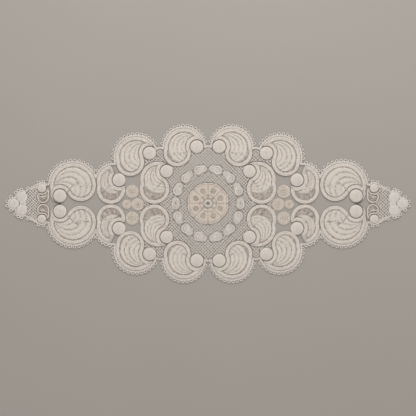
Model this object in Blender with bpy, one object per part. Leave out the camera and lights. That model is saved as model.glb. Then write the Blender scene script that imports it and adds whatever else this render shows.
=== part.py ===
"""A lace table mat of crocheted motifs, lying flat.

Twenty padded commas, each curling round its own button, are joined edge to edge round a
flower. A fine net fills the middle, a ring of double scrolls lies in it, and one edging of
picots runs round the whole mat. +X is the mat's length, +Y its width, and Z = 0 the table.
Sizes are in millimetres until the points are made.
"""

import math

import bmesh
import bpy

MM = 0.001

# Every piece keeps this much clear of its neighbours.
CLEARANCE = 0.5
# The slit between a comma and its own button.
SLIT = 1.2

# Heights above the table.
COMMA_TOP = 2.3
PAD_TOP = 2.9
BUTTON_TOP = 3.6
SCROLL_TOP = 2.6
DISC_TOP = 1.2
NET_TOP = 1.0
EDGING_TOP = 1.5
CLOVER_TOP = 1.9
HUB_TOP = 3.0
CHAMFER = 0.7

# The comma motifs of one quarter of the mat: the outer arc, the head, the button, the angles
# at which the tail ends and the slit closes, the way that the tail turns, and the arc that the
# tail's end follows. The middle rows hang a little low, as worked.
COMMA_COLUMNS = ("arc", "arc_r", "head", "head_r", "button", "button_r", "tip", "close", "turn", "tail")
COMMA_ROWS = {
    "crown": ((35.7, 83.1), 29.5, (46.0, 75.8), 20.6, (16.7, 84.9), 9.6, 183, 105, 1, None),
    "shoulder": ((107.5, 69.6), 30.6, (116.2, 61.9), 21.1, (87.1, 75.4), 9.6, 178, 95, 1, None),
    "inner": ((74.7, 36.0), 26.8, (80.0, 21.7), 22.4, (61.9, 48.2), 9.3, 150, 60, 1, None),
    "waist": ((142.2, 33.1), 24.2, (145.0, 20.7), 21.4, (132.9, 35.3), 9.6, 84, 78, 1, "shoulder"),
    "outer": ((201.6, 26.1), 34.6, (190.0, 25.6), 22.4, (221.2, 11.6), 9.6, -97, 25, -1, "wrap"),
    "end": ((247.4, 16.6), 10.5, (246.4, 9.7), 9.4, (248.2, 22.9), 6.3, 125, 195, -1, None),
}
COMMAS = {name: dict(zip(COMMA_COLUMNS, row)) for name, row in COMMA_ROWS.items()}
# The outer comma's tail runs on round its button along this arc.
WRAP_CENTRE = (221.4, 14.6)
WRAP_RADIUS = 14.2
# The lower commas of these two rows sit this much lower than a mirror image would.
LOW_ROWS = {"inner": 1.8, "waist": 1.8}
# The rim between a comma's edge and its padded field.
FIELD_RIM = 5.5

# The scrolls: fourteen round the flower, and how far out each pair lies.
SCROLL_COUNT = 14
SCROLL_RADII = (48.2, 48.8, 49.8, 51.0)
LARGE_LOBE = 7.7
SMALL_LOBE = 6.1
LARGE_LOBE_ALONG = -2.9
SMALL_LOBE_ALONG = 4.3
SMALL_LOBE_OUT = 1.0

FLOWER_RADIUS = 31.4
HUB_RADIUS = 6.0
HUB_HOLE = 2.6
PETALS = 8

# The sheer discs beside the inner commas: centre and radius.
DISCS = {
    "upper": ((113.4, 17.9), 9.8),
    "lower": ((113.4, -22.0), 9.8),
    "near": ((105.1, -1.2), 9.2),
    "far": ((121.4, -1.2), 6.7),
}

# The clover at each end: two side leaves, the tip leaf and the stalk between them.
CLOVER_LEAVES = (((277.7, 9.3), 7.6), ((277.7, -9.3), 7.6), ((289.6, 0.0), 6.9))
CLOVER_MIDDLE = (280.5, 0.0)
STALK_RADIUS = 6.0

# What the edging follows from the end of the mat to its middle: the commas' arcs and heads, and
# the rounded fillings between them.
EDGING_CHAIN = ("tip leaf", "side leaf", "web", "end button", "nook", "outer arc", "waist arc",
                "shoulder head", "shoulder arc", "valley", "crown head", "crown arc", "middle")
FILLINGS = {
    "tip leaf": CLOVER_LEAVES[2],
    "side leaf": CLOVER_LEAVES[0],
    "web": ((265.5, 12.5), 7.0),
    "nook": ((238.5, 22.0), 5.0),
    "valley": ((71.5, 74.5), 7.0),
    "middle": ((0.0, 77.5), 6.5),
}
PICOT_OUT = 3.9
PICOT_RADIUS = 2.8
PICOT_PITCH = 6.5
PICOT_CORNERS = (-55, 0, 55)
# How near a picot may stand to the next stretch, as a share of the pitch.
PICOT_MARGIN = 0.85
# Two stretches this near each other meet between their circles.
TOUCH_GAP = 1.0

# The outlines of the net, drawn under the motifs that are then cut out of it.
GROUND_QUARTER = ((72.5, 0), (80, 12), (80, 36), (58, 50), (54, 62), (40, 76), (26.2, 82), (16, 82),
                  (8.2, 80), (5.2, 80.9), (3.3, 82.8), (0, 83.8))
WEDGE_NET = ((66, 57), (92, 50), (97, 62), (90, 75), (77.6, 76.5), (75.6, 79.6), (71.5, 81),
             (67.2, 78.9), (62, 80), (60, 66))
SIDE_NET = ((86, -16), (102.5, -16), (103.5, -1), (102.5, 13), (86, 13))
END_WEB_HALF = ((246, 0), (246, 20), (251.4, 28.2), (269.1, 18.4), (271.6, 15.9), (275, 9), (281, 0))

# How finely bodies and the cutters that clear them are rounded, in degrees.
BODY_STEP = 20.0
CUTTER_STEP = 12.0


def ring_of(centre, radius, start, end, step=BODY_STEP):
    """Points along an arc, in degrees, from start to end."""
    count = max(1, round(abs(end - start) / step))
    turns = [math.radians(start + (end - start) * i / count) for i in range(count + 1)]
    return [(centre[0] + radius * math.cos(t), centre[1] + radius * math.sin(t)) for t in turns]


def on_circle(centre, radius, angle):
    turn = math.radians(angle)
    return centre[0] + radius * math.cos(turn), centre[1] + radius * math.sin(turn)


def angle_to(centre, point):
    return math.degrees(math.atan2(point[1] - centre[1], point[0] - centre[0]))


def meeting_angle(centre, radius, other, other_radius, side):
    """Where a circle meets another, as an angle on the first; side picks which meeting."""
    apart = math.dist(centre, other)
    cosine = (apart**2 + radius**2 - other_radius**2) / (2 * apart * radius)
    return angle_to(centre, other) + side * math.degrees(math.acos(max(-1.0, min(1.0, cosine))))


def above(angle, floor):
    """The same direction, at or past the floor angle."""
    return floor + (angle - floor) % 360


def tail_end(comma, start, grow, stop_r, step):
    """The outer arc and whatever the tail's end follows, up to the circle round the button."""
    centre, radius = comma["arc"], comma["arc_r"] + grow
    if comma["tail"] is None or grow < 0:
        tip = comma["tip"] + math.degrees(grow / radius)
        if grow < 0:
            tip = meeting_angle(centre, radius, comma["button"], stop_r, -1)
        return ring_of(centre, radius, start, above(tip, start), step)
    if comma["tail"] == "wrap":
        follow_centre, follow_r = (-WRAP_CENTRE[0], WRAP_CENTRE[1]), WRAP_RADIUS + grow
        leave = above(meeting_angle(centre, radius, follow_centre, follow_r, -1), start)
        begin = angle_to(follow_centre, on_circle(centre, radius, leave))
        end = above(comma["tip"], begin)
    else:
        rival = COMMAS[comma["tail"]]
        follow_centre, follow_r = rival["head"], rival["head_r"] + CLEARANCE + 0.2 - grow
        leave = above(meeting_angle(centre, radius, follow_centre, follow_r, -1), start)
        begin = angle_to(follow_centre, on_circle(centre, radius, leave))
        end = meeting_angle(follow_centre, follow_r, comma["button"], stop_r, -1)
        begin = end + (begin - end) % 360
    arc = ring_of(centre, radius, start, leave, step)
    return arc + ring_of(follow_centre, follow_r, begin, end, min(step, 14))[1:]


def mirrored(comma):
    """The same comma seen in a mirror, with its tail turning the other way."""
    flipped = dict(comma, turn=-comma["turn"], tip=180 - comma["tip"], close=180 - comma["close"])
    for key in ("arc", "head", "button"):
        flipped[key] = (-comma[key][0], comma[key][1])
    return flipped


def comma_outline(comma, grow=0.0, slit=True, step=BODY_STEP):
    """The comma's closed outline, anticlockwise, with or without the slit round its button."""
    if comma["turn"] < 0:
        return [(-x, y) for x, y in reversed(comma_outline(mirrored(comma), grow, slit, step))]
    head, head_r = comma["head"], comma["head_r"] + grow
    button, button_r = comma["button"], comma["button_r"] + grow
    bay_r = comma["button_r"] + SLIT if slit else button_r
    start = meeting_angle(comma["arc"], comma["arc_r"] + grow, head, head_r, 1)
    corner = on_circle(comma["arc"], comma["arc_r"] + grow, start)
    outline = tail_end(comma, start, grow, button_r, step)
    button_start = angle_to(button, outline[-1]) + 8
    mouth = above(meeting_angle(button, bay_r, head, head_r, -1), button_start)
    outline += ring_of(button, button_r, button_start, mouth, 1.5 * step)
    if slit:
        close = above(comma["close"], mouth)
        outline += ring_of(button, button_r, mouth, close, step)[1:]
        outline += ring_of(button, bay_r, close, mouth, step)
    head_start = angle_to(head, outline[-1])
    head_end = above(angle_to(head, corner), head_start)
    return outline + ring_of(head, head_r, head_start, head_end, step)[1:-1]


def field_outline(comma, rim):
    """The padded field inside a comma, a rim's width in from its edge."""
    if comma["turn"] < 0:
        return [(-x, y) for x, y in reversed(field_outline(mirrored(comma), rim))]
    head, head_r = comma["head"], comma["head_r"] - rim
    bay_r = comma["button_r"] + SLIT + rim
    start = meeting_angle(comma["arc"], comma["arc_r"] - rim, head, head_r, 1)
    corner = on_circle(comma["arc"], comma["arc_r"] - rim, start)
    outline = tail_end(comma, start, -rim, bay_r, 24)
    bay_start = angle_to(comma["button"], outline[-1])
    bay_end = meeting_angle(comma["button"], bay_r, head, head_r, -1)
    bay_end = bay_start - (bay_start - bay_end) % 360
    outline += ring_of(comma["button"], bay_r, bay_start, bay_end, 24)[1:]
    head_start = angle_to(head, outline[-1])
    head_end = above(angle_to(head, corner), head_start)
    return outline + ring_of(head, head_r, head_start, head_end, 30)[1:-1]


def lobes_outline(first, first_r, second, second_r, step=20.0):
    """Two overlapping circles as one outline, anticlockwise."""
    start = meeting_angle(first, first_r, second, second_r, 1)
    end = above(meeting_angle(first, first_r, second, second_r, -1), start)
    outline = ring_of(first, first_r, start, end, step)
    start = meeting_angle(second, second_r, first, first_r, 1)
    end = above(meeting_angle(second, second_r, first, first_r, -1), start)
    return outline + ring_of(second, second_r, start, end, step)[1:-1]


def placed(points, flip_x=1, flip_y=1, drop=0.0):
    """Points mirrored into another quarter of the mat, still anticlockwise."""
    moved = [(x * flip_x, y * flip_y + drop) for x, y in points]
    return moved if flip_x * flip_y > 0 else moved[::-1]


def new_collection(name):
    group = bpy.data.collections.new(name)
    bpy.context.scene.collection.children.link(group)
    return group


def cloth_material(name, colour, roughness):
    made = bpy.data.materials.new(name)
    made.use_nodes = True
    shader = made.node_tree.nodes["Principled BSDF"]
    shader.inputs["Base Color"].default_value = (*colour, 1.0)
    shader.inputs["Roughness"].default_value = roughness
    shader.inputs["Metallic"].default_value = 0.0
    return made


def plate(name, outline, bottom, group, rings):
    """A flat piece raised from its outline; each ring says how far in and how high the top goes."""
    shape = bmesh.new()
    corners = [shape.verts.new((x * MM, y * MM, bottom * MM)) for x, y in outline]
    lid = shape.faces.new(corners)
    lid.normal_update()
    if lid.normal.z < 0:
        lid.normal_flip()
    for inset, height in rings:
        if inset:
            bmesh.ops.inset_region(shape, faces=[lid], thickness=inset * MM, use_boundary=True)
        else:
            lid = bmesh.ops.extrude_discrete_faces(shape, faces=[lid])["faces"][0]
        for vertex in lid.verts:
            vertex.co.z = height * MM
    shape.faces.new(corners[::-1])
    bmesh.ops.recalc_face_normals(shape, faces=shape.faces)
    mesh = bpy.data.meshes.new(name)
    shape.to_mesh(mesh)
    shape.free()
    piece = bpy.data.objects.new(name, mesh)
    group.objects.link(piece)
    return piece


def combine(piece, tool, operation):
    """Cuts the tool out of a piece, or joins it on, with a Boolean that keeps the tool hidden."""
    tool.hide_render = True
    tool.display_type = "WIRE"
    cut = piece.modifiers.new(tool.name, "BOOLEAN")
    cut.operation = operation
    cut.object = tool


def quarters():
    """The four quarters of the mat: a name, and the sides that X and Y are mirrored to."""
    sides = {"right": 1, "left": -1}
    rows = {"back": 1, "front": -1}
    return [(f"{row}_{side}", sides[side], rows[row]) for row in rows for side in sides]


def comma_in(name, flip_y):
    """A comma's row of sizes; in the front half the low rows hang further from the middle."""
    comma = COMMAS[name]
    if flip_y > 0 or name not in LOW_ROWS:
        return comma
    lowered = dict(comma)
    for key in ("arc", "head", "button"):
        lowered[key] = (comma[key][0], comma[key][1] + LOW_ROWS[name])
    return lowered


def make_commas(mat, tools, finish):
    """Twenty commas and the four small ones at the ends, each with its button and padded field."""
    for name in COMMAS:
        for quarter, flip_x, flip_y in quarters():
            comma = comma_in(name, flip_y)
            label = f"comma_{name}_{quarter}"
            outline = placed(comma_outline(comma), flip_x, flip_y)
            body = plate(label, outline, 0.0, mat, [(CHAMFER, COMMA_TOP)])
            body.data.materials.append(finish)
            button_r = comma["button_r"] - 1.4
            button = placed(ring_of(comma["button"], button_r, 0, 360, 36)[:-1], flip_x, flip_y)
            rings = [(0.18 * button_r, BUTTON_TOP - 0.5), (0.36 * button_r, BUTTON_TOP)]
            combine(body, plate(f"button_of_{label}", button, 1.0, tools, rings), "UNION")
            if name == "end":
                continue
            field = placed(field_outline(comma, FIELD_RIM), flip_x, flip_y)
            combine(body, plate(f"field_of_{label}", field, 1.0, tools, [(0.8, PAD_TOP)]), "UNION")


def scroll_lobes(number):
    """Centres of a scroll's large and small lobe, the small one nearer the mat's cross line."""
    turn = 2 * math.pi * number / SCROLL_COUNT
    out, along = (math.cos(turn), math.sin(turn)), (-math.sin(turn), math.cos(turn))
    radius = SCROLL_RADII[number]
    large = [radius * o + LARGE_LOBE_ALONG * a for o, a in zip(out, along)]
    small = [(radius + SMALL_LOBE_OUT) * o + SMALL_LOBE_ALONG * a for o, a in zip(out, along)]
    return tuple(large), tuple(small)


def side_lobes():
    """The scroll on the mat's long axis lies evenly across it."""
    radius = SCROLL_RADII[0]
    return (radius, -2.6), (radius, 3.0)


def scroll_places():
    """Each scroll's name, lobes, and the quarter that it is mirrored to."""
    found = [("right", side_lobes(), 1, 1), ("left", side_lobes(), -1, 1)]
    for number in (1, 2, 3):
        for quarter, flip_x, flip_y in quarters():
            found.append((f"{number}_{quarter}", scroll_lobes(number), flip_x, flip_y))
    return found


def scroll_radii(name):
    """The two scrolls on the long axis have two nearly equal lobes."""
    return (6.9, 6.3) if name in ("right", "left") else (LARGE_LOBE, SMALL_LOBE)


def scroll_outline(name, lobes, flip_x, flip_y, grow=0.0):
    large_r, small_r = scroll_radii(name)
    outline = lobes_outline(lobes[0], large_r + grow, lobes[1], small_r + grow, 30 if grow == 0 else 24)
    return placed(outline, flip_x, flip_y)


def make_scrolls(mat, tools, finish):
    for name, lobes, flip_x, flip_y in scroll_places():
        outline = scroll_outline(name, lobes, flip_x, flip_y)
        scroll = plate(f"scroll_{name}", outline, 0.0, mat, [(CHAMFER, SCROLL_TOP)])
        scroll.data.materials.append(finish)
        for lobe, radius in zip(lobes, scroll_radii(name)):
            knot = placed(ring_of(lobe, radius * 0.45, 0, 360, 60)[:-1], flip_x, flip_y)
            lump = plate(f"knot_of_{scroll.name}", knot, 1.2, tools, [(0.5, SCROLL_TOP + 0.5)])
            combine(scroll, lump, "UNION")


def make_discs(mat, finish):
    """Four thin discs on each side, dished towards their middles."""
    for name, (centre, radius) in DISCS.items():
        for side, flip_x in (("right", 1), ("left", -1)):
            outline = placed(ring_of(centre, radius, 0, 360, 22.5)[:-1], flip_x)
            rings = [(0.6, DISC_TOP), (0.45 * radius, DISC_TOP - 0.3)]
            disc = plate(f"disc_{name}_{side}", outline, 0.0, mat, rings)
            disc.data.materials.append(finish)


def petal_height(radius, turn):
    """The flower's top: knots round the hub, then hollow petals with raised edges."""
    fold = (turn * PETALS / (2 * math.pi)) % 1.0 - 0.5
    if radius < 7.5:
        return 1.1
    if radius < 13.0:
        return 2.5 if abs(fold) < 0.3 else 1.4
    rise = 2.1 - 0.6 * max(0.0, (radius - 24.0) / 7.4)
    hollow = max(0.0, 1 - (fold / 0.3) ** 2 - ((radius - 19.5) / 5.5) ** 2)
    crease = 1.0 if abs(fold) > 0.45 else 0.0
    return rise - 1.2 * hollow - 0.6 * crease


def make_flower(mat, finish, hub_finish):
    """The medallion: a turned profile whose top is then raised and hollowed petal by petal."""
    rings = (6.6, 8.4, 12.2, 14.0, 17.0, 22.0, 25.5, FLOWER_RADIUS)
    steps = PETALS * 4
    shape = bmesh.new()
    top = [shape.verts.new((r * MM, 0, 2 * MM)) for r in rings]
    bottom = [shape.verts.new((r * MM, 0, 0)) for r in (rings[-1], rings[0])]
    loop = top + bottom
    edges = [shape.edges.new((a, b)) for a, b in zip(loop, loop[1:] + loop[:1])]
    bmesh.ops.spin(shape, geom=loop + edges, axis=(0, 0, 1), cent=(0, 0, 0), angle=2 * math.pi,
                   steps=steps, use_merge=True, use_duplicate=False)
    bmesh.ops.remove_doubles(shape, verts=shape.verts, dist=1e-6)
    for vertex in shape.verts:
        if vertex.co.z > 1e-5:
            radius, turn = vertex.co.xy.length / MM, math.atan2(vertex.co.y, vertex.co.x)
            vertex.co.z = petal_height(radius, turn) * MM
    for vertex in shape.verts:
        radius, turn = vertex.co.xy.length / MM, math.atan2(vertex.co.y, vertex.co.x)
        notch = abs(math.cos(turn * PETALS / 2)) ** 8 if radius > 29.0 else 0.0
        vertex.co.xy *= 1 - 0.04 * notch
    bmesh.ops.recalc_face_normals(shape, faces=shape.faces)
    bmesh.ops.triangulate(shape, faces=shape.faces)
    mesh = bpy.data.meshes.new("flower")
    shape.to_mesh(mesh)
    shape.free()
    mesh.materials.append(finish)
    mat.objects.link(bpy.data.objects.new("flower", mesh))

    profile = ((HUB_HOLE, 0), (HUB_HOLE, 2.2), (3.4, HUB_TOP), (4.8, HUB_TOP), (HUB_RADIUS, 1.8), (HUB_RADIUS, 0))
    shape = bmesh.new()
    loop = [shape.verts.new((r * MM, 0, z * MM)) for r, z in profile]
    edges = [shape.edges.new((a, b)) for a, b in zip(loop, loop[1:] + loop[:1])]
    bmesh.ops.spin(shape, geom=loop + edges, axis=(0, 0, 1), cent=(0, 0, 0), angle=2 * math.pi,
                   steps=16, use_merge=True, use_duplicate=False)
    bmesh.ops.remove_doubles(shape, verts=shape.verts, dist=1e-6)
    bmesh.ops.recalc_face_normals(shape, faces=shape.faces)
    bmesh.ops.triangulate(shape, faces=shape.faces)
    mesh = bpy.data.meshes.new("hub")
    shape.to_mesh(mesh)
    shape.free()
    mesh.materials.append(hub_finish)
    mat.objects.link(bpy.data.objects.new("hub", mesh))


def clover_outline(flip_x, grow, step):
    """The leaves and the stalk as one outline, found along rays from the clover's middle."""
    circles = [(centre, radius + grow) for centre, radius in CLOVER_LEAVES]
    circles.append((CLOVER_MIDDLE, STALK_RADIUS + grow))
    outline = []
    for i in range(round(360 / step)):
        turn = math.radians(i * step)
        ray = (math.cos(turn), math.sin(turn))
        reach = 0.0
        for centre, radius in circles:
            away = (centre[0] - CLOVER_MIDDLE[0], centre[1] - CLOVER_MIDDLE[1])
            along = away[0] * ray[0] + away[1] * ray[1]
            across = away[0] * ray[1] - away[1] * ray[0]
            if abs(across) < radius:
                reach = max(reach, along + math.sqrt(radius**2 - across**2))
        outline.append((CLOVER_MIDDLE[0] + reach * ray[0], CLOVER_MIDDLE[1] + reach * ray[1]))
    return placed(outline, flip_x)


def make_clovers(mat, tools, finish):
    """Three joined leaves at each end, each with a knot at its middle."""
    for side, flip_x in (("right", 1), ("left", -1)):
        clover = plate(f"clover_{side}", clover_outline(flip_x, 0.0, 10), 0.0, mat, [(0.6, CLOVER_TOP)])
        clover.data.materials.append(finish)
        for number, (centre, radius) in enumerate(CLOVER_LEAVES):
            knot = placed(ring_of(centre, 0.6 * radius, 0, 360, 45)[:-1], flip_x)
            lump = plate(f"knot_{number}_{side}", knot, 0.8, tools, [(0.9, CLOVER_TOP + 0.6)])
            combine(clover, lump, "UNION")


def cut_outline(piece, label, outline, tools):
    tool = plate(f"{label}_of_{piece.name}", outline, -1.0, tools, [(0, 4.0)])
    combine(piece, tool, "DIFFERENCE")


def cut_circles(piece, circles, tools, flip_x=1):
    for number, (centre, radius) in enumerate(circles):
        outline = placed(ring_of(centre, radius, 0, 360, 11.25)[:-1], flip_x)
        cut_outline(piece, f"round_{number}", outline, tools)


def cut_commas(piece, names, tools, sides=(1, -1)):
    """Cuts the commas' silhouettes out of a net, with clearance all round."""
    for name in names:
        for quarter, flip_x, flip_y in quarters():
            if flip_x not in sides:
                continue
            comma = comma_in(name, flip_y)
            outline = comma_outline(comma, CLEARANCE, slit=False, step=CUTTER_STEP)
            cut_outline(piece, f"{name}_{quarter}", placed(outline, flip_x, flip_y), tools)


def make_ground(mat, tools, finish):
    """The net between the flower, the scrolls and the commas, one piece."""
    quarter = list(GROUND_QUARTER)
    outline = quarter + placed(quarter, -1)[1:]
    lower = placed(outline, 1, -1)
    ground = plate("ground", outline + lower[1:-1], 0.0, mat, [(0, NET_TOP)])
    ground.data.materials.append(finish)
    cut_circles(ground, [((0, 0), FLOWER_RADIUS + CLEARANCE)], tools)
    cut_commas(ground, ("crown", "shoulder", "inner"), tools)
    for name, lobes, flip_x, flip_y in scroll_places():
        cut_outline(ground, name, scroll_outline(name, lobes, flip_x, flip_y, CLEARANCE), tools)


def make_wedge_nets(mat, tools, finish):
    """The small nets that fill the corners between the crown, shoulder and inner commas."""
    for quarter, flip_x, flip_y in quarters():
        net = plate(f"wedge_net_{quarter}", placed(WEDGE_NET, flip_x, flip_y), 0.0, mat, [(0, NET_TOP)])
        net.data.materials.append(finish)
        for name in ("crown", "shoulder", "inner"):
            outline = comma_outline(comma_in(name, flip_y), CLEARANCE, slit=False, step=CUTTER_STEP)
            cut_outline(net, name, placed(outline, flip_x, flip_y), tools)


def make_side_nets(mat, tools, finish):
    """The small net between each side's inner commas and the discs."""
    for side, flip_x in (("right", 1), ("left", -1)):
        net = plate(f"side_net_{side}", placed(SIDE_NET, flip_x), 0.0, mat, [(0, NET_TOP)])
        net.data.materials.append(finish)
        cut_commas(net, ("inner",), tools, (flip_x,))
        discs = [(centre, radius + CLEARANCE) for centre, radius in DISCS.values()]
        cut_circles(net, discs[:3], tools, flip_x)


def make_end_webs(mat, tools, finish):
    """The openwork that joins each clover to the small commas."""
    for side, flip_x in (("right", 1), ("left", -1)):
        half = list(END_WEB_HALF)
        outline = half[::-1] + placed(half, 1, -1)[::-1][1:-1]
        web = plate(f"end_web_{side}", placed(outline, flip_x), 0.0, mat, [(0, NET_TOP + 0.3)])
        web.data.materials.append(finish)
        cut_commas(web, ("end",), tools, (flip_x,))
        cut_outline(web, "clover", clover_outline(flip_x, CLEARANCE, 10), tools)


def edging_circle(name, flip_y):
    """The circle that one stretch of the edging is sewn round."""
    if name in FILLINGS:
        return FILLINGS[name]
    row, shape = name.split()
    comma = comma_in(row, flip_y)
    return comma[shape], comma[f"{shape}_r"]


def handover(first, first_r, second, second_r):
    """Angles at which a line round two circles leaves the first and reaches the second."""
    apart = math.dist(first, second)
    heading = angle_to(first, second)
    if 0 <= apart - first_r - second_r < TOUCH_GAP:
        return heading, heading + 180
    if apart >= first_r + second_r:
        both = heading - math.degrees(math.acos((first_r - second_r) / apart))
        return both, both
    return (meeting_angle(first, first_r, second, second_r, -1),
            meeting_angle(second, second_r, first, first_r, 1))


def edging_arcs(grow, flip_y):
    """One quarter's arcs, this far out from what they are sewn to: circle, start and end."""
    circles = [edging_circle(name, flip_y) for name in EDGING_CHAIN]
    circles = [(centre, radius + grow) for centre, radius in circles]
    starts, ends = [0.0], []
    for (first, first_r), (second, second_r) in zip(circles, circles[1:]):
        leave, reach = handover(first, first_r, second, second_r)
        ends.append(leave)
        starts.append(reach)
    ends.append(90.0)
    arcs = []
    for (centre, radius), start, end in zip(circles, starts, ends):
        sweep = (end - start) % 360
        if sweep < 270:
            arcs.append((centre, radius, start, start + sweep))
    return arcs


def picot_turns(radius, start, end, first_share, last_share):
    """Angles of the picots on one arc, evenly spread; a short arc has one or none."""
    pitch = math.degrees(PICOT_PITCH / radius)
    first, last = start + first_share * pitch, end - last_share * pitch
    if last - first < 0.5 * pitch:
        return [(first + last) / 2] if last - first > -0.5 * pitch else []
    count = round((last - first) / pitch)
    return [first + (last - first) * i / count for i in range(count + 1)]


def picot_line(flip_y):
    """One quarter's outer scallops: three corners for each picot."""
    line = []
    arcs = edging_arcs(PICOT_OUT, flip_y)
    for number, (centre, radius, start, end) in enumerate(arcs):
        first_share = 0.5 if number == 0 else PICOT_MARGIN
        last_share = 0.5 if number == len(arcs) - 1 else PICOT_MARGIN
        for turn in picot_turns(radius, start, end, first_share, last_share):
            middle = on_circle(centre, radius, turn)
            line += [on_circle(middle, PICOT_RADIUS, turn + corner) for corner in PICOT_CORNERS]
    return line


def sewn_line(flip_y):
    """One quarter's inner line, just clear of the motifs."""
    line = []
    for centre, radius, start, end in edging_arcs(CLEARANCE, flip_y):
        points = ring_of(centre, radius, start, end, CUTTER_STEP if radius > 20 else 2 * CUTTER_STEP)
        line += points if not line else points[1:] if math.dist(line[-1], points[0]) < 0.01 else points
    return line


def whole_loop(quarter_line):
    """The back and front quarters' lines mirrored into one loop round the mat."""
    back, front = quarter_line(1), quarter_line(-1)
    loop = back + placed(back, -1) + placed(front + placed(front, -1), 1, -1)
    return [point for i, point in enumerate(loop) if math.dist(point, loop[i - 1]) > 0.01]


def make_edging(mat, tools, finish):
    """One round of picots, worked all round the mat."""
    edging = plate("edging", whole_loop(picot_line), 0.0, mat, [(0, EDGING_TOP)])
    edging.data.materials.append(finish)
    cut_outline(edging, "motifs", whole_loop(sewn_line), tools)


def main():
    for old in list(bpy.data.objects):
        bpy.data.objects.remove(old)
    mat = new_collection("lace_table_mat")
    tools = new_collection("cutters")
    padded = cloth_material("padded_thread", (0.76, 0.68, 0.60), 0.85)
    bright = cloth_material("bright_thread", (0.82, 0.75, 0.68), 0.85)
    sheer = cloth_material("sheer_thread", (0.66, 0.57, 0.48), 0.85)
    make_commas(mat, tools, padded)
    make_scrolls(mat, tools, bright)
    make_discs(mat, sheer)
    make_flower(mat, sheer, bright)
    make_clovers(mat, tools, bright)
    make_ground(mat, tools, sheer)
    make_wedge_nets(mat, tools, sheer)
    make_side_nets(mat, tools, sheer)
    make_end_webs(mat, tools, bright)
    make_edging(mat, tools, bright)


main()
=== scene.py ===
"""A crocheted lace table mat, worked stitch by stitch over the plain model of it.

Padded commas with buttons, double scrolls, a flower, sheer discs and clovers are raised row by row from
their outlines, their colour painted light and shade: darker low down and in gaps, lighter on ridges. The
nets are real threads with open gaps over a lower layer darkened with painted shade; the picot edging is a
band of thread rings with painted shade in the dips between its posts and on a disc at the bottom of each
picot's eye. Sizes are in millimetres until the points are made. +X is the mat's length and Z = 0 is the
table.
"""

import math
import random

import bmesh
import bpy
from mathutils import Matrix, Vector, noise
from mathutils.bvhtree import BVHTree
from mathutils.kdtree import KDTree


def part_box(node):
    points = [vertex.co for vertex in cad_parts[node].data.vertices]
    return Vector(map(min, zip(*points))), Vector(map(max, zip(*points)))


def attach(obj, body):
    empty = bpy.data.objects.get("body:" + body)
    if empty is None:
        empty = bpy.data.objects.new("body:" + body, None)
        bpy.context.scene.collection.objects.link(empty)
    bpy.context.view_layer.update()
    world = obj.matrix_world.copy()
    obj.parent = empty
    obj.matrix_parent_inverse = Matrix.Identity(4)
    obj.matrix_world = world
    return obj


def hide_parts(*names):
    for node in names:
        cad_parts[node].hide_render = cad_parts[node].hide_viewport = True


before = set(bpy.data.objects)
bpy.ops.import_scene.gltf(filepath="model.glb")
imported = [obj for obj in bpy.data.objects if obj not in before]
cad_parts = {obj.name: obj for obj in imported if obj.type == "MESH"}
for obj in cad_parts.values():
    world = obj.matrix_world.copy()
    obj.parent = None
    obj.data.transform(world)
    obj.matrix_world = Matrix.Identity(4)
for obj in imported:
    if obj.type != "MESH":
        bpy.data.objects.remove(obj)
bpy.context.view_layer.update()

bl_info = {
    "name": "Crocheted lace mat",
    "version": (1, 0, 0),
    "blender": (4, 5, 0),
    "location": "3D View > Sidebar > Lace mat",
    "description": "Works a crocheted lace mat of commas, scrolls, a flower, nets and picots",
    "category": "Object",
}

MM = 0.001
BODY = "root"

# The commas of one quarter: outer arc, head, button, where the tail ends, the way it turns, and
# what the tail's end follows.
COMMA_COLUMNS = ("arc", "arc_r", "head", "head_r", "button", "button_r", "tip", "turn", "tail")
COMMA_ROWS = {
    "crown": ((35.7, 83.1), 29.5, (46.0, 75.8), 20.6, (16.7, 84.9), 9.6, 183, 1, None),
    "shoulder": ((107.5, 69.6), 30.6, (116.2, 61.9), 21.1, (87.1, 75.4), 9.6, 178, 1, None),
    "inner": ((74.7, 36.0), 26.8, (80.0, 21.7), 22.4, (61.9, 48.2), 9.3, 150, 1, None),
    "waist": ((142.2, 33.1), 24.2, (145.0, 20.7), 21.4, (132.9, 35.3), 9.6, 84, 1, "shoulder"),
    "outer": ((201.6, 26.1), 34.6, (190.0, 25.6), 22.4, (221.2, 11.6), 9.6, -97, -1, "wrap"),
    "end": ((247.4, 16.6), 10.5, (246.4, 9.7), 9.4, (248.2, 22.9), 6.3, 125, -1, None),
}
COMMAS = {name: dict(zip(COMMA_COLUMNS, row)) for name, row in COMMA_ROWS.items()}
WRAP_CENTRE = (221.4, 14.6)
WRAP_RADIUS = 14.2
LOW_ROWS = {"inner": 1.8, "waist": 1.8}
SLIT = 1.2
LAYERS = ("tone", "along", "across", "girth")
DEEPEST_STEPS = 260
ROW_CHART = 2.4
RIDGES = 4
SMALL_HEAD = 12
LARGE_ROSETTE = 4.2
SMALL_ROSETTE = 2.0
ROSETTE_BASE = 2.2
# A sheet's area can't be given as under 0.3 of its flat size. The side nets' real area in plan is about
# 0.2 of their flat size; the area worked out for each sheet is raised to at least this share of it.
LEAST_SHEET_SHARE = 0.31

# The scrolls round the flower, and how their two lobes lie.
SCROLL_COUNT = 14
SCROLL_RADII = (48.2, 48.8, 49.8, 51.0)
LARGE_LOBE = 7.7
SMALL_LOBE = 6.1
LARGE_LOBE_ALONG = -2.9
SMALL_LOBE_ALONG = 4.3
SMALL_LOBE_OUT = 1.0

FLOWER_RADIUS = 31.4
HUB_RADIUS = 6.0
HUB_HOLE = 2.6
PETALS = 8

DISCS = {
    "upper": ((113.4, 17.9), 9.8),
    "lower": ((113.4, -22.0), 9.8),
    "near": ((105.1, -1.2), 9.2),
    "far": ((121.4, -1.2), 6.7),
}

CLOVER_LEAVES = (((277.7, 9.3), 7.6), ((277.7, -9.3), 7.6), ((289.6, 0.0), 6.9))

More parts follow.
